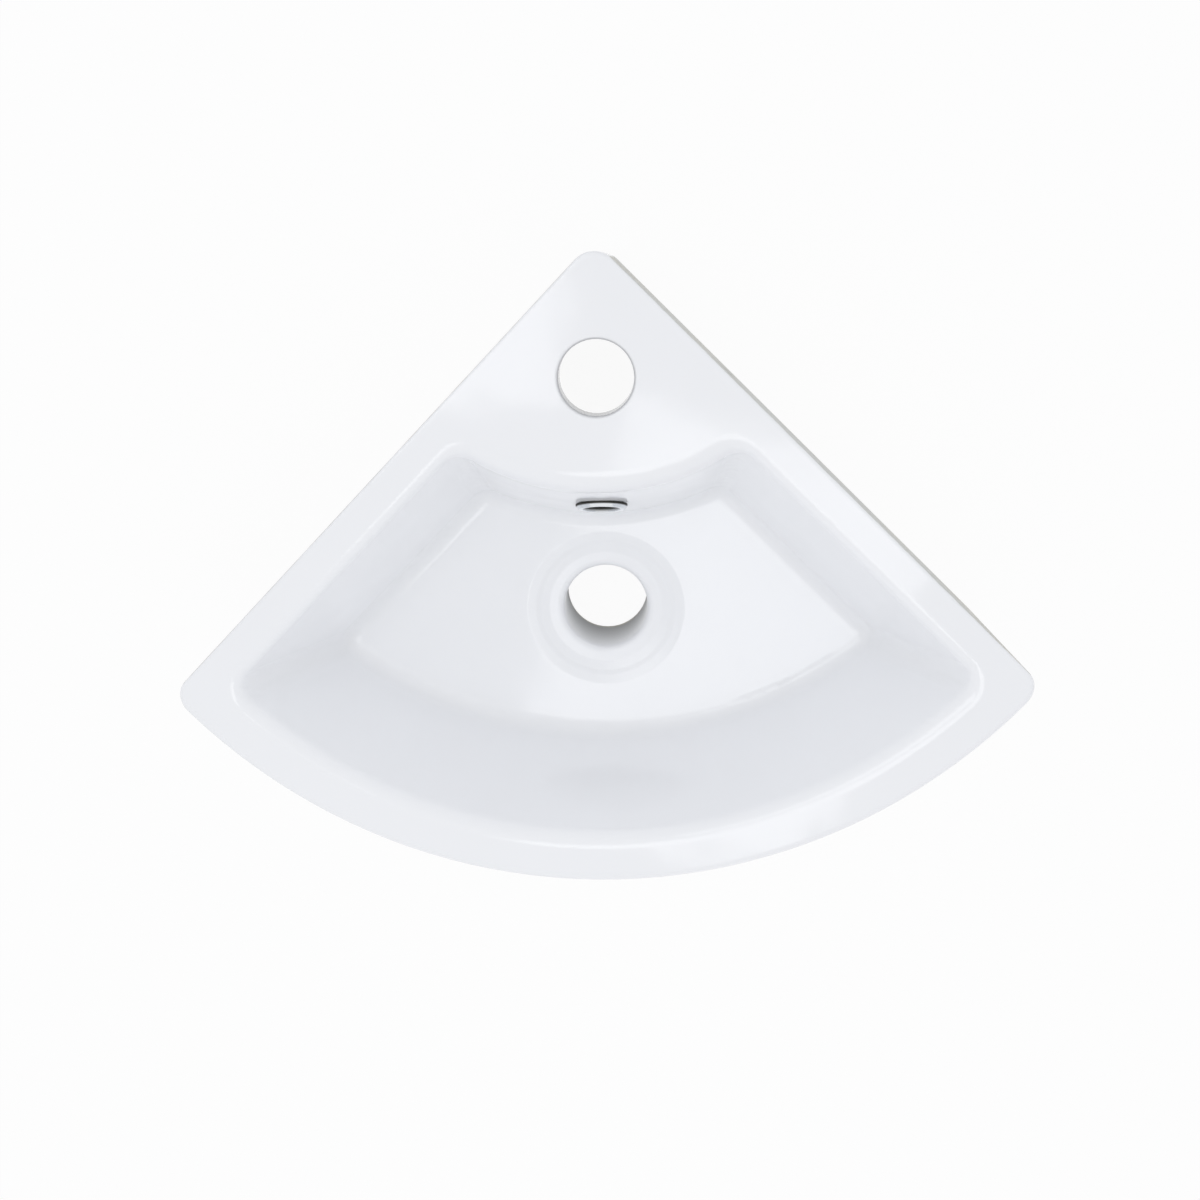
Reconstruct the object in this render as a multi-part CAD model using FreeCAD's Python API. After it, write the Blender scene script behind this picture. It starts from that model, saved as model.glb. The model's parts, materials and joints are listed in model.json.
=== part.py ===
import FreeCAD, Part
import math
import os
from FreeCAD import Vector

# Small wall-hung corner basin: a quarter-round bowl cast in one piece with its tap ledge,
# rim, wall panels and overflow passage, and a snap-in ring that lines the overflow hole.
#
# Frame: +Z up, the room corner towards +Y, the rounded front towards -Y, the left and
# right walls at 45 degrees on either side of +Y. The origin is on the axis of the waste
# hole, in the plane of the underside.

# ---- Driving dimensions: millimetres and degrees ------------------------------------

# Outline, seen from above
wall_side = 300.0              # sharp corner to sharp front tip, along each wall
corner_to_front = 312.5        # sharp corner to the middle of the rounded front
corner_round = 12.0            # upright edge that faces the room corner
tip_round = 12.0               # upright edges where the front meets the walls

# Outside, seen from the side
height = 125.0
front_edge_round = 4.0         # top edge along the front
wall_edge_round = 1.2          # top edge along the walls
foot_edge_bevel = 1.5
wall_panel = 9.0               # thickness of the panels that lie on the walls
front_wall = 9.0
ledge_slab = 14.0              # thickness of the tap ledge and of the rim
hollow_round = 6.0             # upright corners of the hollow underneath
hollow_top_bevel = 5.0         # where the panels and the front meet the slab

# Bowl, measured to the sharp edges before they are rounded
rim_side = 18.0                # level rim beside each wall
rim_front = 25.0               # level rim at the front
ledge_radius = 113.0           # back of the bowl, an arc about the room corner
bowl_draft = 18.3              # lean of the bowl walls from upright
bowl_corner_round = 11.0       # upright corners of the bowl
bowl_floor_round = 10.0
bowl_wall = 9.0                # thickness of the bowl wall and floor
bowl_floor_bevel = 8.0         # foot of the bowl, on its outside
lip_side = 6.0                 # rolled edge of the rim, beside the walls
lip_front = 9.0                # the same edge, at the front
lip_back = 12.0                # the same edge, at the tap ledge

# Waste outlet
waste_from_corner = 191.0
waste_bore = 45.0
waste_seat_depth = 84.5        # sharp top edge of the waste hole, below the rim
seat_width = 10.5              # seat of the waste's flange, from the hole to the recess's flank
recess_width = 7.0             # flank of the recess, seen from above
recess_depth = 4.4             # bowl floor above the sharp top edge of the waste hole
recess_fall = 6.0              # slope of the flange's seat
recess_easing = 2.4            # half width of the slopes that ease the flank's foot and edge
waste_mouth_round = 4.0
waste_boss_wall = 10.5
waste_boss_spread = 8.0        # boss beyond the recess, under the bowl's floor

# Tap hole
tap_hole = 35.0
tap_from_corner = 61.0
tap_mouth_bevel = 1.0

# Wall fixing holes, one in each wall panel
fixing_hole = 12.0
fixing_from_corner = 88.0
fixing_drop = 48.0             # below the rim
fixing_pad = 36.0              # diameter of the thickened patch round the hole
fixing_pad_rise = 4.0

# Overflow passage, cast behind and under the bowl
overflow_drop = 43.0           # middle of the overflow hole, below the rim
overflow_hole = 20.6
passage_width = 28.0
passage_depth = 11.0
passage_wall = 7.0
passage_head = 6.0             # passage above the top of the overflow hole
passage_bend = 12.0
slot_above_foot = 13.0         # passage floor above the underside, at the waste hole

# Overflow ring: a domed bezel whose tube holds a split sleeve in the hole
bezel_diameter = 26.0
bezel_rise = 2.6
bezel_bore = 15.6
bezel_tube_wall = 1.0
bezel_tube_length = 12.0
bezel_lip = 0.8                # flat edge of the bezel, on the bowl wall
bezel_crown = 1.6              # width of the bezel's flat crown
sleeve_clearance = 0.15        # between the sleeve and the bezel
sleeve_play = 0.3              # between the sleeve and the overflow hole, all round
barb_rise = 0.9
barb_ramp = 2.6
barb_tip = 0.6                 # wall left at the sleeve's end
petals = 4
petal_gap = 1.6
petal_root = 2.5               # unsplit length of the sleeve, behind the bezel

# ---- Sizes that follow ---------------------------------------------------------------

ROOT2 = math.sqrt(2.0)
UP = Vector(0, 0, 1)
LEFT, RIGHT = -1, 1
TINY = 0.001                   # two lengths closer than this are the same
PAST = 1.0                     # how far a cut runs past the face it opens
REACH = wall_side + corner_to_front        # further than any part of the basin


def tan(degrees):
    return math.tan(math.radians(degrees))


def cos(degrees):
    return math.cos(math.radians(degrees))


def sin(degrees):
    return math.sin(math.radians(degrees))


# The front is one arc, centred on the line from the corner through the waste hole.
arc_from_corner = (corner_to_front ** 2 - wall_side ** 2) / (2 * corner_to_front - ROOT2 * wall_side)
front_radius = corner_to_front - arc_from_corner
arc_y = waste_from_corner - arc_from_corner

seat_z = height - waste_seat_depth
floor_z = seat_z + recess_depth
waste_radius = waste_bore / 2
recess_foot = waste_radius + seat_width
recess_edge = recess_foot + recess_width


# ---- Shape helpers -------------------------------------------------------------------

def rounded_outline(corners, place, bend):
    """Closed wire through (u, v, radius) corners, each rounded by bend(start, corner, end).

    place(u, v) gives the 3-D point.
    """
    points = [Vector(u, v, 0) for u, v, _ in corners]
    ends = []
    for index, (_, _, radius) in enumerate(corners):
        here = points[index]
        back = (points[index - 1] - here).normalize()
        ahead = (points[(index + 1) % len(points)] - here).normalize()
        reach = radius / math.tan(back.getAngle(ahead) / 2)
        ends.append((here + back * reach, here + ahead * reach))
    pieces = []
    for index, (start, end) in enumerate(ends):
        following = ends[(index + 1) % len(ends)][0]
        if corners[index][2] > 0:
            pieces.append(bend(*[place(point.x, point.y) for point in (start, points[index], end)]))
        pieces.append(Part.makeLine(place(end.x, end.y), place(following.x, following.y)))
    return Part.Wire(pieces)


def arc_bend(start, corner, end):
    """Arc that rounds a corner, tangent to both of its sides."""
    half = (start - corner).getAngle(end - corner) / 2
    inwards = (start + end - corner * 2).normalize()
    reach = (start - corner).Length
    middle = corner + inwards * reach * (1 - math.sin(half)) / math.cos(half)
    return Part.Arc(start, middle, end).toShape()


def bezier_bend(start, corner, end):
    """Bezier curve along the same arc. Turned, it has half the facets of a torus."""
    turn = math.pi - (start - corner).getAngle(end - corner)
    share = 4 / 3 * math.tan(turn / 4) / math.tan(turn / 2)
    curve = Part.BezierCurve()
    curve.setPoles([start, start + (corner - start) * share, end + (corner - end) * share, end])
    return curve.toShape()


def turned(corners, base=Vector(0, 0, 0), axis=UP):
    """Solid of revolution from (radius, along, rounding) corners about an axis through base."""
    side = axis.cross(Vector(1, 0, 0)).normalize()

    def place(radius, along):
        return base + side * radius + axis * along

    return Part.Face(rounded_outline(corners, place, bezier_bend)).revolve(base, axis, 360)


def behind(point, normal):
    """A block that fills the space behind the plane through a point."""
    size = 2 * REACH
    block = Part.makeBox(size, size, size, Vector(-size / 2, -size / 2, -size))
    block.Placement = FreeCAD.Placement(point, FreeCAD.Rotation(UP, normal))
    return block


def cone_about(y, rim_radius, draft, low, high):
    """Upright cone from low to high that narrows downwards and has its given radius at the rim."""
    low_radius = rim_radius - (height - low) * tan(draft)
    high_radius = rim_radius - (height - high) * tan(draft)
    return Part.makeCone(low_radius, high_radius, high - low, Vector(0, y, low), UP)


def drill(diameter, start, direction, length):
    return Part.makeCylinder(diameter / 2, length, start, direction)


def wall_normal(side):
    """Direction square to a wall, out of the basin."""
    return Vector(side, 1, 0).normalize()


def wall_point(side, along, inset, z):
    """Point at a distance along a wall from the sharp corner, and inset from the wall's face."""
    return Vector(side * (along - inset) / ROOT2, waste_from_corner - (along + inset) / ROOT2, z)


def upright_edges(shape, z_length):
    """Edges that run the whole height of a shape, in front of the room corner."""
    return [edge for edge in shape.Edges
            if abs(edge.BoundBox.ZLength - z_length) < TINY and abs(edge.CenterOfMass.x) > TINY]


def corner_edge(shape, z_length):
    """The upright edge that faces the room corner."""
    return [edge for edge in shape.Edges
            if abs(edge.BoundBox.ZLength - z_length) < TINY and abs(edge.CenterOfMass.x) < TINY
            and edge.CenterOfMass.y > 0]


def level_edges(shape, z):
    """Edges that lie at a height."""
    return [edge for edge in shape.Edges
            if abs(edge.BoundBox.ZMin - z) < TINY and abs(edge.BoundBox.ZMax - z) < TINY]


def rings_hole(edge, diameter):
    """True on the round edge of a hole."""
    return isinstance(edge.Curve, Part.Circle) and abs(edge.Curve.Radius - diameter / 2) < TINY


def face_at(shape, point):
    """The face that a point lies on."""
    probe = Part.Vertex(point)
    return min(shape.Faces, key=lambda face: face.distToShape(probe)[0])


def rolled(block, wire, radius_at):
    """Round the edges of a wire. The radius changes evenly from one end of an edge to the other."""
    radii = []
    for edge in sorted(wire.OrderedEdges, key=lambda edge: edge.CenterOfMass.y):
        number, own = [(n, other) for n, other in enumerate(block.Edges, 1) if other.isSame(edge)][0]
        ends = [own.valueAt(own.FirstParameter), own.valueAt(own.LastParameter)]
        if own.Orientation == "Forward":
            ends.reverse()
        radii.append((number, radius_at(ends[0]), radius_at(ends[1])))
    model = FreeCAD.newDocument("rolled")
    sharp = model.addObject("Part::Feature", "sharp")
    sharp.Shape = block
    round_edged = model.addObject("Part::Fillet", "round_edged")
    round_edged.Base = sharp
    round_edged.Edges = radii
    model.recompute()
    return round_edged.Shape


# ---- Outside and underside -----------------------------------------------------------

def quarter_round(wall_inset, front_inset, corner, tip, low, high):
    """Block between the two walls and the front, inset from them, with rounded corners."""
    block = Part.makeCylinder(front_radius - front_inset, high - low, Vector(0, arc_y, low))
    for side in (LEFT, RIGHT):
        block = block.common(behind(wall_point(side, 0, wall_inset, low), wall_normal(side)))
    block = block.makeFillet(tip, upright_edges(block, high - low))
    return block.makeFillet(corner, corner_edge(block, high - low))


def outside():
    block = quarter_round(0, 0, corner_round, tip_round, 0, height)
    top = face_at(block, Vector(0, 0, height))
    return rolled(block, top.OuterWire, top_edge_radius)


def top_edge_radius(point):
    """Radius of the top edge at a point where the sides meet their rounded corners."""
    from_arc = point.distanceToPoint(Vector(0, arc_y, height))
    return front_edge_round if abs(from_arc - front_radius) < TINY else wall_edge_round


def waste_boss():
    """Thick collar round the waste hole, that spreads under the waste recess."""
    return Part.makeCone(waste_radius + waste_boss_wall, recess_edge + waste_boss_spread, floor_z)


def fixing_place(side, inset):
    return wall_point(side, fixing_from_corner, inset, height - fixing_drop)


def underside_hollow():
    """The open space under the bowl and the ledge, inside the panels and the front wall."""
    top = height - ledge_slab
    hollow = quarter_round(wall_panel, front_wall, hollow_round, hollow_round, -PAST, top)
    hollow = hollow.makeChamfer(hollow_top_bevel, level_edges(hollow, top))
    solid_parts = [bowl_outside(), waste_boss(), passage(passage_wall)]
    for side in (LEFT, RIGHT):
        pad = wall_panel + fixing_pad_rise
        solid_parts.append(drill(fixing_pad, fixing_place(side, 0), -wall_normal(side), pad))
    return hollow.cut(solid_parts)


# ---- Bowl ----------------------------------------------------------------------------

def above_floor():
    """Everything above the bowl's floor, with the waste's recess, seat and hole."""
    seat_edge_z = seat_z + seat_width * tan(recess_fall)
    flank = (floor_z - seat_edge_z) / recess_width
    low = -2 * PAST
    high = height + REACH
    return turned([
        (0, low, 0),
        (waste_radius, low, 0),
        (waste_radius, seat_z, waste_mouth_round),
        (recess_foot - recess_easing, seat_edge_z - recess_easing * tan(recess_fall), 0),
        (recess_foot + recess_easing, seat_edge_z + recess_easing * flank, 0),
        (recess_edge - recess_easing, floor_z - recess_easing * flank, 0),
        (recess_edge + recess_easing, floor_z, 0),
        (REACH, floor_z, 0),
        (REACH, high, 0),
        (0, high, 0),
    ])


def sloping_walls(thickness, low):
    """Space between the bowl's walls from a level up, or with a thickness their outsides."""
    level = thickness / cos(bowl_draft)
    high = height + lip_back
    space = cone_about(arc_y, front_radius - rim_front + level, bowl_draft, low, high)
    for side in (LEFT, RIGHT):
        lean = wall_normal(side) * cos(bowl_draft) - UP * sin(bowl_draft)
        space = space.common(behind(wall_point(side, 0, rim_side - level, height), lean))
    return space.cut(cone_about(waste_from_corner, ledge_radius - level, -bowl_draft, low, high))


def bowl_space():
    """The hollow of the bowl, with its recess and the waste hole."""
    low = -PAST
    space = sloping_walls(0, low)
    space = space.makeFillet(bowl_corner_round, upright_edges(space, height + lip_back - low))
    space = space.common(above_floor())
    foot = [edge for edge in level_edges(space, floor_z) if not around_waste(edge)]
    return space.makeFillet(bowl_floor_round, foot)


def around_waste(edge):
    """True on a circle about the waste hole's axis."""
    if not isinstance(edge.Curve, Part.Circle):
        return False
    return math.hypot(edge.Curve.Center.x, edge.Curve.Center.y) < TINY


def bowl_outside():
    """The bowl's walls and floor as seen from below, filled solid."""
    low = floor_z - bowl_wall
    space = sloping_walls(bowl_wall, low)
    return space.makeChamfer(bowl_floor_bevel, level_edges(space, low))


def lip_radius(point):
    """Radius of the rolled rim at a point where the bowl's walls meet their rounded corners."""
    from_corner = point.distanceToPoint(Vector(0, waste_from_corner, height))
    from_arc = point.distanceToPoint(Vector(0, arc_y, height))
    if abs(from_corner - ledge_radius) < TINY:
        return lip_back
    if abs(from_arc - (front_radius - rim_front)) < TINY:
        return lip_front
    return lip_side


def roll_rim(block):
    """Round the bowl's edge at the rim: widest at the ledge, tightest beside the walls."""
    rim = face_at(block, Vector(0, waste_from_corner - tap_from_corner, height))
    opening = [wire for wire in rim.Wires if not wire.isSame(rim.OuterWire)][0]
    return rolled(block, opening, lip_radius)


# ---- Overflow ------------------------------------------------------------------------

def bowl_back(z):
    """Where the bowl's wall behind the waste hole lies at a height, in the middle plane."""
    return waste_from_corner - ledge_radius - (height - z) * tan(bowl_draft)


OVERFLOW_OUT = Vector(0, -cos(bowl_draft), sin(bowl_draft))      # out of the hole, into the bowl
OVERFLOW = Vector(0, bowl_back(height - overflow_drop), height - overflow_drop)


def passage(wall):
    """Water way from behind the overflow hole to the waste hole, or with a wall its casing.

    The casing is solid up to the bowl's floor.
    """
    wall_back = bowl_wall / cos(bowl_draft)
    level_depth = (passage_depth + wall) / cos(bowl_draft)
    floor = slot_above_foot - wall
    ceiling = floor_z if wall else slot_above_foot + passage_depth
    head = OVERFLOW.z + overflow_hole / 2 + passage_head + wall

    def front(z):
        return bowl_back(z) + (wall_back / 2 if wall else wall_back)

    def rear(z):
        return bowl_back(z) + wall_back + level_depth

    corners = [
        (front(head), head, 0),
        (rear(head), head, passage_bend / 2),
        (rear(floor), floor, passage_bend + wall),
        (0, floor, 0),
        (0, ceiling, 0),
        (front(ceiling), ceiling, 0),
    ]
    half = passage_width / 2 + wall
    side = Part.Face(rounded_outline(corners, lambda y, z: Vector(-half, y, z), arc_bend))
    return side.extrude(Vector(2 * half, 0, 0))


def from_hole(distance):
    """Point on the overflow hole's axis, a distance out of the bowl wall."""
    return OVERFLOW + OVERFLOW_OUT * distance


def overflow_bezel():
    """Domed ring on the bowl's wall, with a thin tube that runs through the hole."""
    bore = bezel_bore / 2
    tube = bore + bezel_tube_wall
    outer = bezel_diameter / 2
    crown = (bore + outer) / 2
    return turned([
        (bore, -bezel_tube_length, 0),
        (tube, -bezel_tube_length, 0),
        (tube, 0, 0),
        (outer, 0, 0),
        (outer, bezel_lip, 0),
        (crown + bezel_crown / 2, bezel_rise, 0),
        (crown - bezel_crown / 2, bezel_rise, 0),
        (bore, bezel_lip, 0),
    ], OVERFLOW, OVERFLOW_OUT)


def overflow_sleeve():
    """Split sleeve round the tube, with barbed petals that spring out behind the wall."""
    inner = bezel_bore / 2 + bezel_tube_wall + sleeve_clearance
    outer = overflow_hole / 2 - sleeve_play
    back = -bowl_wall - sleeve_play
    end = back - barb_ramp
    sleeve = turned([
        (inner, -sleeve_clearance, 0),
        (outer, -sleeve_clearance, 0),
        (outer, back, 0),
        (outer + barb_rise, back, 0),
        (inner + barb_tip, end, 0),
        (inner, end, 0),
    ], OVERFLOW, OVERFLOW_OUT)
    slots = []
    for index in range(petals // 2):
        slot = Part.makeBox(4 * outer, petal_gap, bezel_tube_length,
                            Vector(-2 * outer, -petal_gap / 2, -bezel_tube_length - petal_root))
        slot.rotate(Vector(0, 0, 0), UP, 360 / petals * index)
        slot.Placement = FreeCAD.Placement(OVERFLOW, FreeCAD.Rotation(UP, OVERFLOW_OUT)) * slot.Placement
        slots.append(slot)
    return sleeve.cut(slots)


# ---- Basin ---------------------------------------------------------------------------

def basin_body():
    body = roll_rim(outside().cut(bowl_space()))
    body = body.cut([underside_hollow(), passage(0)])
    foot = [edge for edge in level_edges(body, 0) if not rings_hole(edge, waste_bore)]
    body = body.makeChamfer(foot_edge_bevel, foot)
    tap = drill(tap_hole, Vector(0, waste_from_corner - tap_from_corner, 0), UP, height + PAST)
    overflow = drill(overflow_hole, from_hole(overflow_hole), -OVERFLOW_OUT,
                     overflow_hole + bowl_wall + passage_depth / 2)
    fixings = []
    for side in (LEFT, RIGHT):
        past_pad = wall_panel + fixing_pad_rise + 2 * PAST
        fixings.append(drill(fixing_hole, fixing_place(side, -PAST), -wall_normal(side), past_pad))
    body = body.cut([tap, overflow] + fixings)
    mouth = [edge for edge in level_edges(body, height) if rings_hole(edge, tap_hole)]
    return body.makeChamfer(tap_mouth_bevel, mouth)


PARTS = {
    "basin_body": basin_body,
    "overflow_bezel": overflow_bezel,
    "overflow_sleeve": overflow_sleeve,
}

os.makedirs("parts", exist_ok=True)
for name, make in PARTS.items():
    shape = make()
    solid = shape.Solids[0]
    print(name, "solids", len(shape.Solids), "valid", solid.isValid(), "faces", len(solid.Faces),
          "volume", round(solid.Volume, 1))
    solid.exportStep("parts/" + name + ".step")
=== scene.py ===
"""Looks of a small wall-hung corner basin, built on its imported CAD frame.

The three CAD pieces keep their shapes. Each gets the finish of the real one, and the stage
gives the pale floor, the soft studio light and the camera above the tap ledge.
"""

import json
import math

import bpy
from bpy.props import FloatProperty, FloatVectorProperty, PointerProperty
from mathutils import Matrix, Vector


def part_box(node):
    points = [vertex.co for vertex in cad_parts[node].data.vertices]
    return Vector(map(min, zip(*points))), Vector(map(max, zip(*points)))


bl_info = {
    "name": "Corner basin",
    "version": (1, 0, 0),
    "blender": (4, 5, 0),
    "location": "View3D > Sidebar > Basin",
    "description": "Glazes a corner basin, plates its overflow ring and lights it for a photograph",
    "category": "Object",
}

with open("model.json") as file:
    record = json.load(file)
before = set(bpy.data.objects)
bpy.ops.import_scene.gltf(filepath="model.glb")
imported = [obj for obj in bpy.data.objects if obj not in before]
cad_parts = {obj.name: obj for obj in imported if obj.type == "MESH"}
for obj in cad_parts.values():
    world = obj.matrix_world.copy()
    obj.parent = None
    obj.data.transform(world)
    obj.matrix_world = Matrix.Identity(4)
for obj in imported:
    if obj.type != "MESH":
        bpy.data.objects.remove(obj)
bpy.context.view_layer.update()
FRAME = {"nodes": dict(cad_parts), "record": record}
NODES = FRAME["nodes"]

MM = 0.001


def srgb(code):
    """Linear colour from an sRGB hex code such as 'F0F2F5'."""
    channels = [int(code[i:i + 2], 16) / 255 for i in (0, 2, 4)]
    return [c / 12.92 if c <= 0.04045 else ((c + 0.055) / 1.055) ** 2.4 for c in channels]


# ---- Places taken from the frame ----------------------------------------------------------

BASIN_LOW, BASIN_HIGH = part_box("basin_body")
BASIN_WIDTH = BASIN_HIGH.x - BASIN_LOW.x

# The two wall faces are the planes |x| + y = WALL_REACH.
WALL_REACH = max(abs(vertex.co.x) + vertex.co.y for vertex in NODES["basin_body"].data.vertices)

MOUNTS = {mount["name"]: mount for mount in FRAME["record"]["mounts"]}


def upright_hole(name):
    """Where the axis of an upright hole meets the plane of the foot, and the hole's radius."""
    mount = MOUNTS[name]
    x, y = mount["pos_m"][:2]
    return (x, y, 0), mount["dims"]["r_mm"] * MM


WASTE_PLACE, WASTE_RADIUS = upright_hole("waste_hole")
TAP_PLACE, TAP_RADIUS = upright_hole("tap_hole")

# Height of the waste hole's mouth, and radius of the recess round it.
WASTE_MOUTH = 40.5 * MM
RECESS_RADIUS = 42.4 * MM

# The overflow ring faces out of the bowl's rear wall, which leans back by this much.
RING_LEAN = math.radians(18.3)
RING_OUT = Vector((0, -math.cos(RING_LEAN), math.sin(RING_LEAN)))
RING_BORE = 7.8 * MM
RING_RADIUS = 13 * MM

# Points of the ring this close behind its furthest one belong to its crown.
CROWN_DEPTH = 0.02 * MM


def ring_face():
    """Middle of the ring's crown, the part of the ring that stands furthest out."""
    points = [vertex.co for vertex in NODES["overflow_bezel"].data.vertices]
    furthest = max(point.dot(RING_OUT) for point in points)
    crown = [point for point in points if furthest - point.dot(RING_OUT) < CROWN_DEPTH]
    return sum(crown, Vector()) / len(crown)


# ---- Where one finish gives way to another ------------------------------------------------

# The glaze is wiped off the wall faces by hand, so its edge wanders. Bare clay takes over
# while |x| + y, with up to WIPE_WANDER added, goes through WALL_FADE.
WIPE_SPACING = 9 * MM
WIPE_WANDER = 0.7 * MM
WALL_FADE = (WALL_REACH - 0.1 * MM, WALL_REACH + 0.2 * MM)

# The foot is wiped up to a height that wanders between the first two values. The clay ends
# there within FOOT_FADE above and below.
FOOT_WIPED_LOW = 1.6 * MM
FOOT_WIPED_HIGH = 3.4 * MM
FOOT_FADE = 0.3 * MM

# Distances from an axis at which a finish begins, and at which it is complete. The waste
# wall, the tap hole's bevel and the ring's bore and rim take painted shade; the recess takes a
# duller glaze.
WASTE_WALL_FADE = (WASTE_RADIUS + 3 * MM, WASTE_RADIUS + 1 * MM)
RECESS_FADE = (RECESS_RADIUS + 1 * MM, RECESS_RADIUS - 3 * MM)
TAP_BEVEL_FADE = (TAP_RADIUS + 1 * MM, TAP_RADIUS + 0.3 * MM)
RING_BORE_FADE = (RING_BORE + 1.9 * MM, RING_BORE + 0.5 * MM)
RING_RIM_FADE = (RING_RADIUS - 0.7 * MM, RING_RADIUS - 0.2 * MM)

# ---- What each surface is like ------------------------------------------------------------

# A spread holds shares of the roughness that is set, at the smoothest and the dullest place.
GLAZE_IOR = 1.5
GLAZE_SPREAD = (0.8, 1.2)
PATCH_SOFTNESS = 0.45
RECESS_ROUGHNESS = 0.27
WASTE_BORE_ROUGHNESS = 0.6
SWELL_HEIGHT = 0.5 * MM
SWELL_STRENGTH = 0.8
PEEL_HEIGHT = 0.012 * MM
PEEL_STRENGTH = 0.6
EDGE_SAMPLES = 6

# The clay's real grit is about 0.2 mm, and is drawn coarser so that it shows. The flame's
# patches come in between two levels of their noise.
CLAY_GRIT = 1.5 * MM
CLAY_GRIT_SHADE = 0.86
CLAY_ROUGHNESS = 0.82
FLASHING_LEVELS = (0.42, 0.68)

# The haze that polishing leaves is finer on the real ring, and is drawn coarser so that it
# shows.
POLISH_HAZE = 3 * MM
POLISH_HAZE_HEIGHT = 0.004 * MM
POLISH_SPREAD = (0.6, 1.6)
DULL_PLATE_ROUGHNESS = 0.5

POLYPROPYLENE_IOR = 1.49
POLYPROPYLENE_ROUGHNESS = (0.36, 0.52)
POLYPROPYLENE_GLOW = 0.15
POLYPROPYLENE_DEPTH = 1.5 * MM
MOULD_GRAIN_HEIGHT = 0.02 * MM

# ---- The stage ----------------------------------------------------------------------------

FLOOR_RADIUS = 12 * BASIN_WIDTH
FLOOR_SIDES = 96
FLOOR_GAP = 0.2 * MM

# Share of the backdrop that is seen as plain white. The rest takes the basin's shadow.
WHITE_SHARE = 0.95

# Up to this angle above the horizon the room's light is the side light.
SIDE_LIGHT_RISE = math.radians(45)

FRONT_PANEL_PLACE = (0.13, -0.35, 1.3)
FRONT_PANEL_TURN = math.radians(-20)
FILL_PANEL_PLACE = (-0.45, 0.32, 1.6)

SENSOR_WIDTH = 36
NEAREST_SEEN = 10 * MM
CAMERA_PLACE = (20.6 * MM, 182.1 * MM, 733.2 * MM)
CAMERA_TURN = (math.radians(-14.47), math.radians(1.72), math.radians(-0.75))


# ---- What a user would change -------------------------------------------------------------

class ChinaFinish(bpy.types.PropertyGroup):
    """Glaze and bare clay of the basin body."""

    glaze: FloatVectorProperty(
        name="Glaze", description="White glaze where it lies thick",
        subtype="COLOR", size=3, min=0, max=1, default=srgb("FBFCFE"))
    thin_glaze: FloatVectorProperty(
        name="Thin glaze", description="White glaze where it has run thin and the clay warms it",
        subtype="COLOR", size=3, min=0, max=1, default=srgb("F9FAFC"))
    clay: FloatVectorProperty(
        name="Bare clay", description="Fired clay on the wall faces and the foot",
        subtype="COLOR", size=3, min=0, max=1, default=srgb("DCDDD9"))
    flashed_clay: FloatVectorProperty(
        name="Flashed clay", description="Bare clay where the kiln's flame has warmed it",
        subtype="COLOR", size=3, min=0, max=1, default=srgb("D6D3CA"))
    flashing_width: FloatProperty(
        name="Flashing width", description="Width of the flame's patches on the bare clay",
        subtype="DISTANCE", unit="LENGTH", min=0.001, default=60 * MM)
    # Painted shade: grey down the waste hole's wall, darker towards its foot.
    waste_bore_shade: FloatVectorProperty(
        name="Run-out glaze", description="Greyer glaze down the wall of the waste hole",
        subtype="COLOR", size=3, min=0, max=1, default=srgb("B2B3B3"))
    # Painted shade: a thin grey line on the tap hole's bevel, where the rounded edge turns from the
    # light.
    tap_hole_shade: FloatVectorProperty(
        name="Hole edge", description="Thin grey glaze on the bevel of the tap hole",
        subtype="COLOR", size=3, min=0, max=1, default=srgb("D4D5D7"))
    patch_width: FloatProperty(
        name="Patch width", description="Width of the patches where the glaze runs thin",
        subtype="DISTANCE", unit="LENGTH", min=0.001, default=45 * MM)
    peel_spacing: FloatProperty(
        name="Orange-peel spacing", description="Distance between the fine ripples of the glaze",
        subtype="DISTANCE", unit="LENGTH", min=0.0005, default=4 * MM)
    swell_spacing: FloatProperty(
        name="Swell spacing", description="Distance between the slow swells left by casting",
        subtype="DISTANCE", unit="LENGTH", min=0.001, default=38 * MM)
    soft_edge: FloatProperty(
        name="Soft edge", description="How far the glaze draws a crease round",
        subtype="DISTANCE", unit="LENGTH", min=0.0001, default=1.5 * MM)
    gloss: FloatProperty(
        name="Glaze roughness", description="Roughness of the fired glaze",
        subtype="FACTOR", min=0, max=1, default=0.09)


class RingFinish(bpy.types.PropertyGroup):
    """Plated bezel and moulded sleeve of the overflow ring."""

    chrome: FloatVectorProperty(
        name="Chrome", description="Colour of the chrome plate",
        subtype="COLOR", size=3, min=0, max=1, default=srgb("E2E5E8"))
    # Painted shade in the ring's bore, and a painted contact shadow on the thin line round its rim.
    bore: FloatVectorProperty(
        name="Bore", description="Thin, dull plate in the ring's bore and round its rim",
        subtype="COLOR", size=3, min=0, max=1, default=srgb("3A3936"))
    polish: FloatProperty(
        name="Chrome roughness", description="Roughness of the polished plate",
        subtype="FACTOR", min=0, max=1, default=0.05)
    sleeve: FloatVectorProperty(
        name="Sleeve", description="Colour of the natural polypropylene sleeve",
        subtype="COLOR", size=3, min=0, max=1, default=srgb("E3E2DB"))
    grain: FloatProperty(
        name="Mould grain", description="Grain of the sleeve's mould, coarser than the real one",
        subtype="DISTANCE", unit="LENGTH", min=0.0001, default=0.5 * MM)


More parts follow.
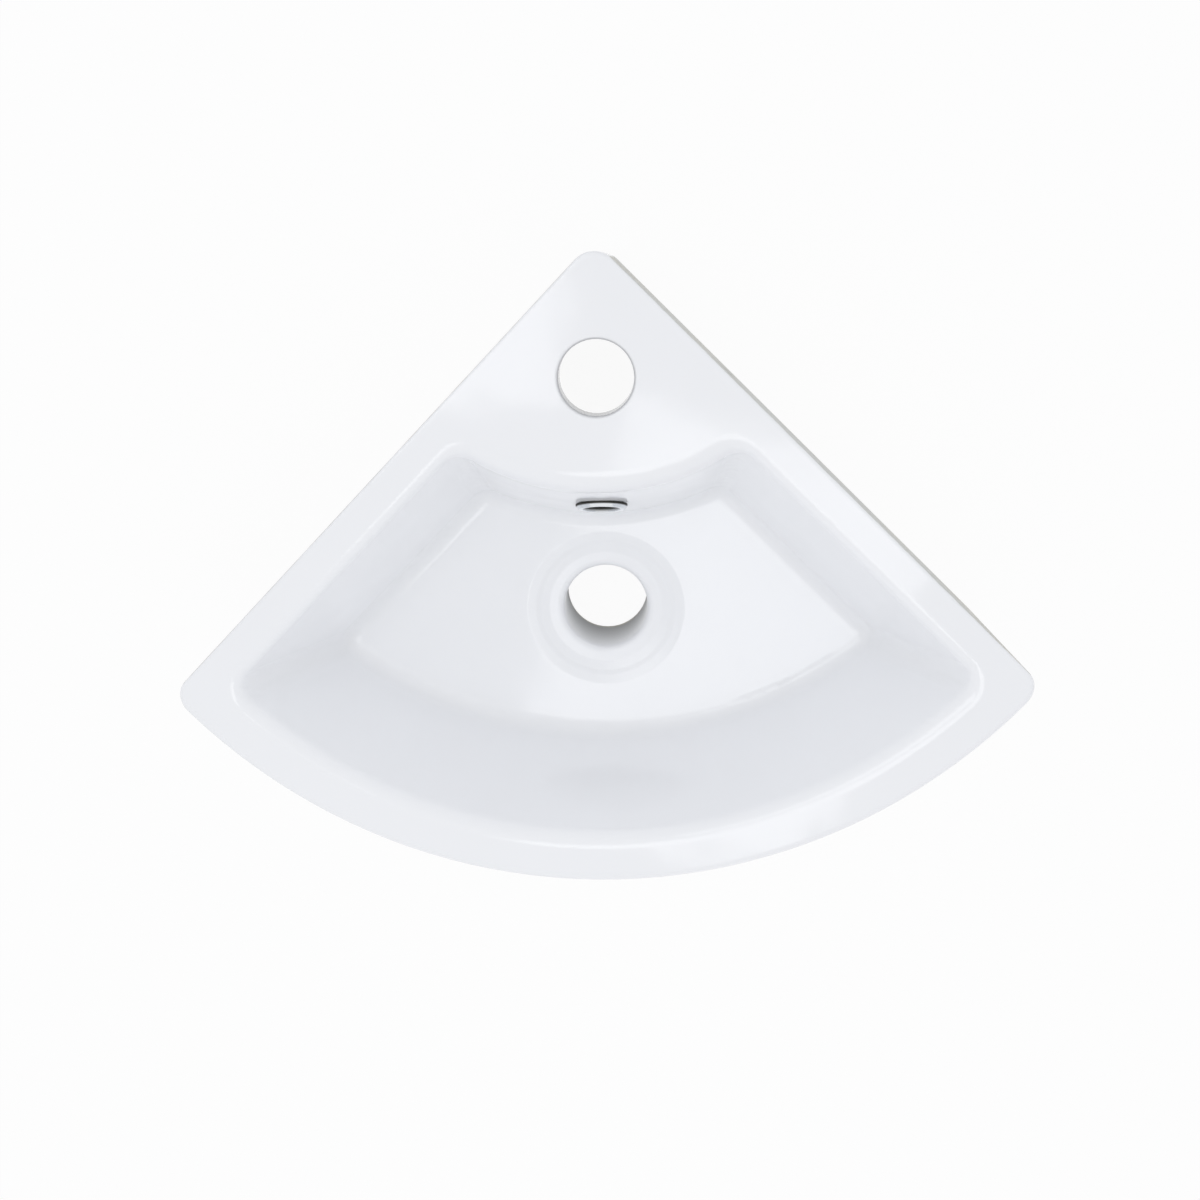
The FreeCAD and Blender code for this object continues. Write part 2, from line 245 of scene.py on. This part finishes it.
class StudioLight(bpy.types.PropertyGroup):
    """Pale floor, soft light and camera."""

    backdrop: FloatVectorProperty(
        name="Backdrop", description="Colour of the floor under the basin",
        subtype="COLOR", size=3, min=0, max=1, default=srgb("FEFEFE"))
    room: FloatVectorProperty(
        name="Room light", description="Colour of the light from all round",
        subtype="COLOR", size=3, min=0, max=1, default=srgb("FBFCFF"))
    overhead: FloatProperty(
        name="Overhead light", description="Strength of the room light from straight above",
        min=0, default=0.27)
    sides: FloatProperty(
        name="Side light", description="Strength of the room light from half way up and below",
        min=0, default=0.83)
    panel_power: FloatProperty(
        name="Panel power", description="Power of the soft panel above the front",
        unit="POWER", min=0, default=1.8)
    fill_power: FloatProperty(
        name="Fill power", description="Power of the soft panel at the upper left",
        unit="POWER", min=0, default=3.2)
    panel_width: FloatProperty(
        name="Panel width", description="Width of the soft panel above the front",
        subtype="DISTANCE", unit="LENGTH", min=0.01, default=0.46)
    panel_depth: FloatProperty(
        name="Panel depth", description="Depth of the soft panel above the front",
        subtype="DISTANCE", unit="LENGTH", min=0.01, default=0.6)
    fill_width: FloatProperty(
        name="Fill width", description="Width and depth of the soft panel at the upper left",
        subtype="DISTANCE", unit="LENGTH", min=0.01, default=0.7)
    lens: FloatProperty(
        name="Lens", description="Focal length on a 36 mm sensor",
        unit="CAMERA", min=1, default=39.61)


# ---- Building blocks ----------------------------------------------------------------------

def add(tree, kind, inputs=None, **settings):
    """Add a node; an input is set to a value or linked from another node's output."""
    node = tree.nodes.new(kind)
    for name, value in settings.items():
        setattr(node, name, value)
    for name, value in (inputs or {}).items():
        if isinstance(value, bpy.types.NodeSocket):
            tree.links.new(value, node.inputs[name])
        else:
            node.inputs[name].default_value = value
    return node


def new_material(name):
    """An empty material with its node tree."""
    material = bpy.data.materials.new(name)
    material.use_nodes = True
    material.node_tree.nodes.clear()
    return material, material.node_tree


def rgba(colour):
    """A colour with full opacity, as a colour socket takes it."""
    return (*colour, 1.0)


def finish_piece(node_name, material):
    """Give a CAD piece its one material."""
    piece = NODES[node_name]
    piece.data.materials.clear()
    piece.data.materials.append(material)


def from_upright(tree, place, foot):
    """How far a point lies from an upright line through a point of the foot's plane."""
    level = add(tree, "ShaderNodeVectorMath", {0: place, 1: (1, 1, 0)}, operation="MULTIPLY")
    apart = add(tree, "ShaderNodeVectorMath", {0: level.outputs[0], 1: foot}, operation="DISTANCE")
    return apart.outputs["Value"]


# ---- Vitreous china -----------------------------------------------------------------------

def bare_clay_mask(tree, place):
    """1 on the wall faces and the foot, which are wiped clean of glaze, and 0 elsewhere."""
    parts = add(tree, "ShaderNodeSeparateXYZ", {"Vector": place})
    side = add(tree, "ShaderNodeMath", {0: parts.outputs["X"]}, operation="ABSOLUTE")
    reach = add(tree, "ShaderNodeMath",
                {0: side.outputs[0], 1: parts.outputs["Y"]}, operation="ADD")
    wander = add(tree, "ShaderNodeTexNoise",
                 {"Vector": place, "Scale": 1 / WIPE_SPACING, "Detail": 3.0})
    wiped = add(tree, "ShaderNodeMath",
                {0: wander.outputs["Fac"], 1: WIPE_WANDER, 2: reach.outputs[0]},
                operation="MULTIPLY_ADD")
    near_wall = add(tree, "ShaderNodeMapRange",
                    {"Value": wiped.outputs[0],
                     "From Min": WALL_FADE[0], "From Max": WALL_FADE[1]})
    foot_line = add(tree, "ShaderNodeMapRange",
                    {"Value": wander.outputs["Fac"],
                     "To Min": FOOT_WIPED_LOW, "To Max": FOOT_WIPED_HIGH})
    above_line = add(tree, "ShaderNodeMath",
                     {0: parts.outputs["Z"], 1: foot_line.outputs[0]}, operation="SUBTRACT")
    near_foot = add(tree, "ShaderNodeMapRange",
                    {"Value": above_line.outputs[0],
                     "From Min": FOOT_FADE, "From Max": -FOOT_FADE})
    bare = add(tree, "ShaderNodeMath",
               {0: near_wall.outputs[0], 1: near_foot.outputs[0]}, operation="MAXIMUM")
    return bare.outputs[0]


def bore_shade_mask(tree, place):
    """0 at the mouth of the waste hole and outside it, rising to 1 at the foot of its wall. It
    places the painted shade down the hole.
    """
    height = add(tree, "ShaderNodeSeparateXYZ", {"Vector": place}).outputs["Z"]
    depth = add(tree, "ShaderNodeMapRange",
                {"Value": height, "From Min": WASTE_MOUTH, "From Max": 0.0})
    near = add(tree, "ShaderNodeMapRange",
               {"Value": from_upright(tree, place, WASTE_PLACE),
                "From Min": WASTE_WALL_FADE[0], "From Max": WASTE_WALL_FADE[1]})
    down_wall = add(tree, "ShaderNodeMath",
                    {0: depth.outputs[0], 1: near.outputs[0]}, operation="MULTIPLY")
    return down_wall.outputs[0]


def recess_mask(tree, place):
    """1 in the recess round the waste hole and inside it, 0 on the rest of the bowl's floor."""
    pooled = add(tree, "ShaderNodeMapRange",
                 {"Value": from_upright(tree, place, WASTE_PLACE),
                  "From Min": RECESS_FADE[0], "From Max": RECESS_FADE[1]})
    return pooled.outputs[0]


def tap_edge_mask(tree, place):
    """1 on the bevel and wall of the tap hole, where a grey line of painted shade goes, 0 on the
    ledge.
    """
    bevel = add(tree, "ShaderNodeMapRange",
                {"Value": from_upright(tree, place, TAP_PLACE),
                 "From Min": TAP_BEVEL_FADE[0], "From Max": TAP_BEVEL_FADE[1]})
    return bevel.outputs[0]


def glaze_colour(tree, place, finish, patches, bore_shade):
    """White with warmer thin patches, and painted shade: grey on the tap hole's bevel and down the
    waste hole.
    """
    glaze = add(tree, "ShaderNodeMix",
                {"Factor": patches, "A": rgba(finish.glaze), "B": rgba(finish.thin_glaze)},
                data_type="RGBA")
    # Painted shade: grey on the tap hole's bevel and wall.
    bevelled = add(tree, "ShaderNodeMix",
                   {"Factor": tap_edge_mask(tree, place), "A": glaze.outputs["Result"],
                    "B": rgba(finish.tap_hole_shade)}, data_type="RGBA")
    # Painted shade: greyer down the waste hole towards its foot.
    bore_shaded = add(tree, "ShaderNodeMix",
                  {"Factor": bore_shade, "A": bevelled.outputs["Result"],
                   "B": rgba(finish.waste_bore_shade)}, data_type="RGBA")
    return bore_shaded.outputs["Result"]


def clay_colour(tree, place, finish):
    """Gritty off-white clay with soft warm patches from the kiln's flame."""
    grit = add(tree, "ShaderNodeTexNoise",
               {"Vector": place, "Scale": 1 / CLAY_GRIT, "Detail": 4.0})
    shaded = [CLAY_GRIT_SHADE * channel for channel in finish.clay]
    gritty = add(tree, "ShaderNodeMix",
                 {"Factor": grit.outputs["Fac"], "A": rgba(finish.clay), "B": rgba(shaded)},
                 data_type="RGBA")
    flashing = add(tree, "ShaderNodeTexNoise",
                   {"Vector": place, "Scale": 1 / finish.flashing_width, "Detail": 3.0})
    flashed = add(tree, "ShaderNodeMapRange",
                  {"Value": flashing.outputs["Fac"],
                   "From Min": FLASHING_LEVELS[0], "From Max": FLASHING_LEVELS[1]})
    clay = add(tree, "ShaderNodeMix",
               {"Factor": flashed.outputs[0], "A": gritty.outputs["Result"],
                "B": rgba(finish.flashed_clay)}, data_type="RGBA")
    return clay.outputs["Result"]


def china_roughness(tree, place, finish, patches, bore_shade, bare):
    """Mirror-smooth glaze, duller in the waste's recess and down its hole, and matt clay."""
    least, most = GLAZE_SPREAD
    glossy = add(tree, "ShaderNodeMapRange",
                 {"Value": patches, "To Min": finish.gloss * least, "To Max": finish.gloss * most})
    pooled = add(tree, "ShaderNodeMix",
                 {"Factor": recess_mask(tree, place), "A": glossy.outputs[0],
                  "B": RECESS_ROUGHNESS}, data_type="FLOAT")
    duller = add(tree, "ShaderNodeMix",
                 {"Factor": bore_shade, "A": pooled.outputs["Result"],
                  "B": WASTE_BORE_ROUGHNESS}, data_type="FLOAT")
    matt = add(tree, "ShaderNodeMix",
               {"Factor": bare, "A": duller.outputs["Result"], "B": CLAY_ROUGHNESS},
               data_type="FLOAT")
    return matt.outputs["Result"]


def china_relief(tree, place, finish):
    """Creases drawn round by the glaze, slow swells left by casting, and fine orange peel."""
    drawn = add(tree, "ShaderNodeBevel", {"Radius": finish.soft_edge}, samples=EDGE_SAMPLES)
    swells = add(tree, "ShaderNodeTexNoise",
                 {"Vector": place, "Scale": 1 / finish.swell_spacing, "Detail": 1.0})
    swollen = add(tree, "ShaderNodeBump",
                  {"Height": swells.outputs["Fac"], "Distance": SWELL_HEIGHT,
                   "Strength": SWELL_STRENGTH, "Normal": drawn.outputs["Normal"]})
    peel = add(tree, "ShaderNodeTexNoise",
               {"Vector": place, "Scale": 1 / finish.peel_spacing, "Detail": 1.0})
    peeled = add(tree, "ShaderNodeBump",
                 {"Height": peel.outputs["Fac"], "Distance": PEEL_HEIGHT,
                  "Strength": PEEL_STRENGTH, "Normal": swollen.outputs["Normal"]})
    return peeled.outputs["Normal"]


def glazed_vitreous_china(finish):
    """Vitreous china, slip-cast, glazed and fired once.

    The glaze is a smooth white glass over a white body, so the eye sees a bright cool white,
    mirror-like but dim reflections that waver with the casting, and soft warm thin places. A
    grey line of painted shade rings the tap hole's bevel. The glaze pools less smoothly in the
    waste's recess and is duller down the waste hole, which is painted greyer towards its foot
    as shade. The faces that touch the walls and the kiln shelf are bare: matt, warmer and
    gritty.
    """
    material, tree = new_material("Vitreous china, glazed")
    place = add(tree, "ShaderNodeNewGeometry").outputs["Position"]
    patches = add(tree, "ShaderNodeTexNoise",
                  {"Vector": place, "Scale": 1 / finish.patch_width, "Detail": 2.0,
                   "Roughness": PATCH_SOFTNESS}).outputs["Fac"]
    bore_shade = bore_shade_mask(tree, place)
    bare = bare_clay_mask(tree, place)
    colour = add(tree, "ShaderNodeMix",
                 {"Factor": bare, "A": glaze_colour(tree, place, finish, patches, bore_shade),
                  "B": clay_colour(tree, place, finish)}, data_type="RGBA")
    roughness = china_roughness(tree, place, finish, patches, bore_shade, bare)
    shader = add(tree, "ShaderNodeBsdfPrincipled",
                 {"Base Color": colour.outputs["Result"], "Roughness": roughness,
                  "IOR": GLAZE_IOR, "Normal": china_relief(tree, place, finish)})
    add(tree, "ShaderNodeOutputMaterial", {"Surface": shader.outputs["BSDF"]})
    return material


# ---- Overflow ring ------------------------------------------------------------------------

def distance_from_ring_axis(tree, place):
    """How far a point lies from the axis of the overflow ring."""
    arm = add(tree, "ShaderNodeVectorMath", {0: place, 1: ring_face()}, operation="SUBTRACT")
    across = add(tree, "ShaderNodeVectorMath",
                 {0: arm.outputs[0], 1: RING_OUT}, operation="CROSS_PRODUCT")
    length = add(tree, "ShaderNodeVectorMath", {0: across.outputs[0]}, operation="LENGTH")
    return length.outputs["Value"]


def ring_shade_mask(tree, place):
    """1 in the ring's bore and on the thin line of its rim, where shade and a contact shadow are
    painted, 0 on the domed face between.
    """
    off_axis = distance_from_ring_axis(tree, place)
    bore = add(tree, "ShaderNodeMapRange",
               {"Value": off_axis, "From Min": RING_BORE_FADE[0], "From Max": RING_BORE_FADE[1]})
    rim = add(tree, "ShaderNodeMapRange",
              {"Value": off_axis, "From Min": RING_RIM_FADE[0], "From Max": RING_RIM_FADE[1]})
    ring_shade = add(tree, "ShaderNodeMath",
               {0: bore.outputs[0], 1: rim.outputs[0]}, operation="MAXIMUM")
    return ring_shade.outputs[0]


def polished_chrome_plate(finish):
    """Bright chrome plated on polished brass: a cool mirror with faint polishing haze.

    The bore is painted dark as shade and given a duller roughness. A fine dark line of painted
    contact shadow marks the rim where the ring meets the china.
    """
    material, tree = new_material("Chrome plate, polished")
    place = add(tree, "ShaderNodeNewGeometry").outputs["Position"]
    haze = add(tree, "ShaderNodeTexNoise",
               {"Vector": place, "Scale": 1 / POLISH_HAZE, "Detail": 4.0})
    least, most = POLISH_SPREAD
    polished = add(tree, "ShaderNodeMapRange",
                   {"Value": haze.outputs["Fac"],
                    "To Min": finish.polish * least, "To Max": finish.polish * most})
    ring_shade = ring_shade_mask(tree, place)
    # Painted shade in the bore and painted contact shadow round the rim.
    colour = add(tree, "ShaderNodeMix",
                 {"Factor": ring_shade, "A": rgba(finish.chrome), "B": rgba(finish.bore)},
                 data_type="RGBA")
    roughness = add(tree, "ShaderNodeMix",
                    {"Factor": ring_shade, "A": polished.outputs[0], "B": DULL_PLATE_ROUGHNESS},
                    data_type="FLOAT")
    ripple = add(tree, "ShaderNodeBump",
                 {"Height": haze.outputs["Fac"], "Distance": POLISH_HAZE_HEIGHT})
    shader = add(tree, "ShaderNodeBsdfPrincipled",
                 {"Base Color": colour.outputs["Result"], "Metallic": 1.0,
                  "Roughness": roughness.outputs["Result"], "Normal": ripple.outputs["Normal"]})
    add(tree, "ShaderNodeOutputMaterial", {"Surface": shader.outputs["BSDF"]})
    return material


def moulded_polypropylene(finish):
    """Natural polypropylene, injection moulded: milky, waxy and finely grained by the mould."""
    material, tree = new_material("Polypropylene, moulded")
    place = add(tree, "ShaderNodeNewGeometry").outputs["Position"]
    grain = add(tree, "ShaderNodeTexNoise",
                {"Vector": place, "Scale": 1 / finish.grain, "Detail": 2.0})
    least, most = POLYPROPYLENE_ROUGHNESS
    roughness = add(tree, "ShaderNodeMapRange",
                    {"Value": grain.outputs["Fac"], "To Min": least, "To Max": most})
    bump = add(tree, "ShaderNodeBump",
               {"Height": grain.outputs["Fac"], "Distance": MOULD_GRAIN_HEIGHT})
    shader = add(tree, "ShaderNodeBsdfPrincipled",
                 {"Base Color": rgba(finish.sleeve), "Roughness": roughness.outputs[0],
                  "IOR": POLYPROPYLENE_IOR, "Subsurface Weight": POLYPROPYLENE_GLOW,
                  "Subsurface Scale": POLYPROPYLENE_DEPTH, "Normal": bump.outputs["Normal"]})
    add(tree, "ShaderNodeOutputMaterial", {"Surface": shader.outputs["BSDF"]})
    return material


# ---- Floor, light and camera --------------------------------------------------------------

def seen_directly(tree):
    """1 for the camera and for a mirror or glass that shows the backdrop, 0 for other light."""
    path = add(tree, "ShaderNodeLightPath")
    mirrored = add(tree, "ShaderNodeMath",
                   {0: path.outputs["Is Camera Ray"], 1: path.outputs["Is Glossy Ray"]},
                   operation="MAXIMUM")
    seen = add(tree, "ShaderNodeMath",
               {0: mirrored.outputs[0], 1: path.outputs["Is Transmission Ray"]},
               operation="MAXIMUM")
    return seen.outputs[0]


def backdrop_paper(studio):
    """Matt white backdrop paper. It shows as white, and part of it still takes the shadow."""
    material, tree = new_material("Backdrop paper, matt white")
    share = add(tree, "ShaderNodeMath",
                {0: seen_directly(tree), 1: WHITE_SHARE}, operation="MULTIPLY")
    paper = add(tree, "ShaderNodeBsdfDiffuse", {"Color": rgba(studio.backdrop)})
    white = add(tree, "ShaderNodeEmission", {"Color": rgba(studio.backdrop), "Strength": 1.0})
    shader = add(tree, "ShaderNodeMixShader",
                 {0: share.outputs[0], 1: paper.outputs[0], 2: white.outputs[0]})
    add(tree, "ShaderNodeOutputMaterial", {"Surface": shader.outputs[0]})
    return material


def lay_floor(studio):
    """A round sheet of backdrop paper under the foot of the basin."""
    bpy.ops.mesh.primitive_circle_add(
        vertices=FLOOR_SIDES, radius=FLOOR_RADIUS, fill_type="NGON",
        location=(0, 0, BASIN_LOW.z - FLOOR_GAP))
    floor = bpy.context.object
    floor.name = "Backdrop floor"
    floor.data.materials.append(backdrop_paper(studio))


def light_room(studio):
    """Soft light from all round, weaker from overhead, and white where the room is seen."""
    world = bpy.data.worlds.new("Studio room")
    bpy.context.scene.world = world
    world.use_nodes = True
    tree = world.node_tree
    tree.nodes.clear()
    direction = add(tree, "ShaderNodeTexCoord").outputs["Generated"]
    rise = add(tree, "ShaderNodeSeparateXYZ", {"Vector": direction}).outputs["Z"]
    strength = add(tree, "ShaderNodeMapRange",
                   {"Value": rise, "From Min": math.sin(SIDE_LIGHT_RISE), "From Max": 1.0,
                    "To Min": studio.sides, "To Max": studio.overhead},
                   interpolation_type="SMOOTHSTEP")
    room = add(tree, "ShaderNodeBackground",
               {"Color": rgba(studio.room), "Strength": strength.outputs[0]})
    white = add(tree, "ShaderNodeBackground", {"Color": (1, 1, 1, 1), "Strength": 1.0})
    shader = add(tree, "ShaderNodeMixShader",
                 {0: seen_directly(tree), 1: room.outputs[0], 2: white.outputs[0]})
    add(tree, "ShaderNodeOutputWorld", {"Surface": shader.outputs[0]})


def hang_panel(name, place, turn, width, depth, power):
    """A soft rectangular light panel that faces straight down, turned about the upright."""
    panel = bpy.data.lights.new(name, "AREA")
    panel.shape = "RECTANGLE"
    panel.size = width
    panel.size_y = depth
    panel.energy = power
    holder = bpy.data.objects.new(name, panel)
    holder.location = place
    holder.rotation_euler = (0, 0, turn)
    bpy.context.scene.collection.objects.link(holder)


def place_camera(studio):
    """The photograph's camera: above the tap ledge, looking down and slightly forwards."""
    lens = bpy.data.cameras.new("Photo camera")
    lens.sensor_width = SENSOR_WIDTH
    lens.lens = studio.lens
    lens.clip_start = NEAREST_SEEN
    camera = bpy.data.objects.new("Photo camera", lens)
    camera.location = CAMERA_PLACE
    camera.rotation_mode = "YXZ"
    camera.rotation_euler = CAMERA_TURN
    bpy.context.scene.collection.objects.link(camera)
    bpy.context.scene.camera = camera


# ---- Operators ----------------------------------------------------------------------------

class BASIN_OT_glaze_body(bpy.types.Operator):
    """Give the basin body its glaze, with bare clay on the wall faces and the foot"""

    bl_idname = "basin.glaze_body"
    bl_label = "Glaze the body"

    def execute(self, context):
        finish_piece("basin_body", glazed_vitreous_china(context.scene.basin_china))
        return {"FINISHED"}


class BASIN_OT_plate_bezel(bpy.types.Operator):
    """Give the overflow bezel its polished chrome plate"""

    bl_idname = "basin.plate_bezel"
    bl_label = "Plate the overflow bezel"

    def execute(self, context):
        finish_piece("overflow_bezel", polished_chrome_plate(context.scene.basin_ring))
        return {"FINISHED"}


class BASIN_OT_mould_sleeve(bpy.types.Operator):
    """Give the overflow sleeve its moulded plastic"""

    bl_idname = "basin.mould_sleeve"
    bl_label = "Mould the overflow sleeve"

    def execute(self, context):
        finish_piece("overflow_sleeve", moulded_polypropylene(context.scene.basin_ring))
        return {"FINISHED"}


class BASIN_OT_set_stage(bpy.types.Operator):
    """Lay the pale floor, light the room and place the camera of the photograph"""

    bl_idname = "basin.set_stage"
    bl_label = "Set the stage"

    def execute(self, context):
        studio = context.scene.basin_studio
        context.scene.view_settings.view_transform = "Standard"
        lay_floor(studio)
        light_room(studio)
        hang_panel("Soft panel, above the front", FRONT_PANEL_PLACE, FRONT_PANEL_TURN,
                   studio.panel_width, studio.panel_depth, studio.panel_power)
        hang_panel("Soft panel, upper left", FILL_PANEL_PLACE, 0,
                   studio.fill_width, studio.fill_width, studio.fill_power)
        place_camera(studio)
        return {"FINISHED"}


class BASIN_PT_sidebar(bpy.types.Panel):
    """Lists the basin's pieces and the stage"""

    bl_label = "Corner basin"
    bl_idname = "BASIN_PT_sidebar"
    bl_space_type = "VIEW_3D"
    bl_region_type = "UI"
    bl_category = "Basin"

    def draw(self, context):
        for group, operators in SIDEBAR:
            box = self.layout.box()
            settings = getattr(context.scene, group)
            for name in settings.__annotations__:
                box.prop(settings, name)
            for operator in operators:
                box.operator(operator.bl_idname)


PROPERTY_GROUPS = {
    "basin_china": ChinaFinish,
    "basin_ring": RingFinish,
    "basin_studio": StudioLight,
}
SIDEBAR = (
    ("basin_china", (BASIN_OT_glaze_body,)),
    ("basin_ring", (BASIN_OT_plate_bezel, BASIN_OT_mould_sleeve)),
    ("basin_studio", (BASIN_OT_set_stage,)),
)
CLASSES = (
    *PROPERTY_GROUPS.values(),
    BASIN_OT_glaze_body,
    BASIN_OT_plate_bezel,
    BASIN_OT_mould_sleeve,
    BASIN_OT_set_stage,
    BASIN_PT_sidebar,
)


def register():
    for item in CLASSES:
        bpy.utils.register_class(item)
    for name, group in PROPERTY_GROUPS.items():
        setattr(bpy.types.Scene, name, PointerProperty(type=group))


def unregister():
    for name in PROPERTY_GROUPS:
        delattr(bpy.types.Scene, name)
    for item in reversed(CLASSES):
        bpy.utils.unregister_class(item)


def main():
    register()
    bpy.ops.basin.glaze_body()
    bpy.ops.basin.plate_bezel()
    bpy.ops.basin.mould_sleeve()
    bpy.ops.basin.set_stage()


if __name__ == "__main__":
    main()
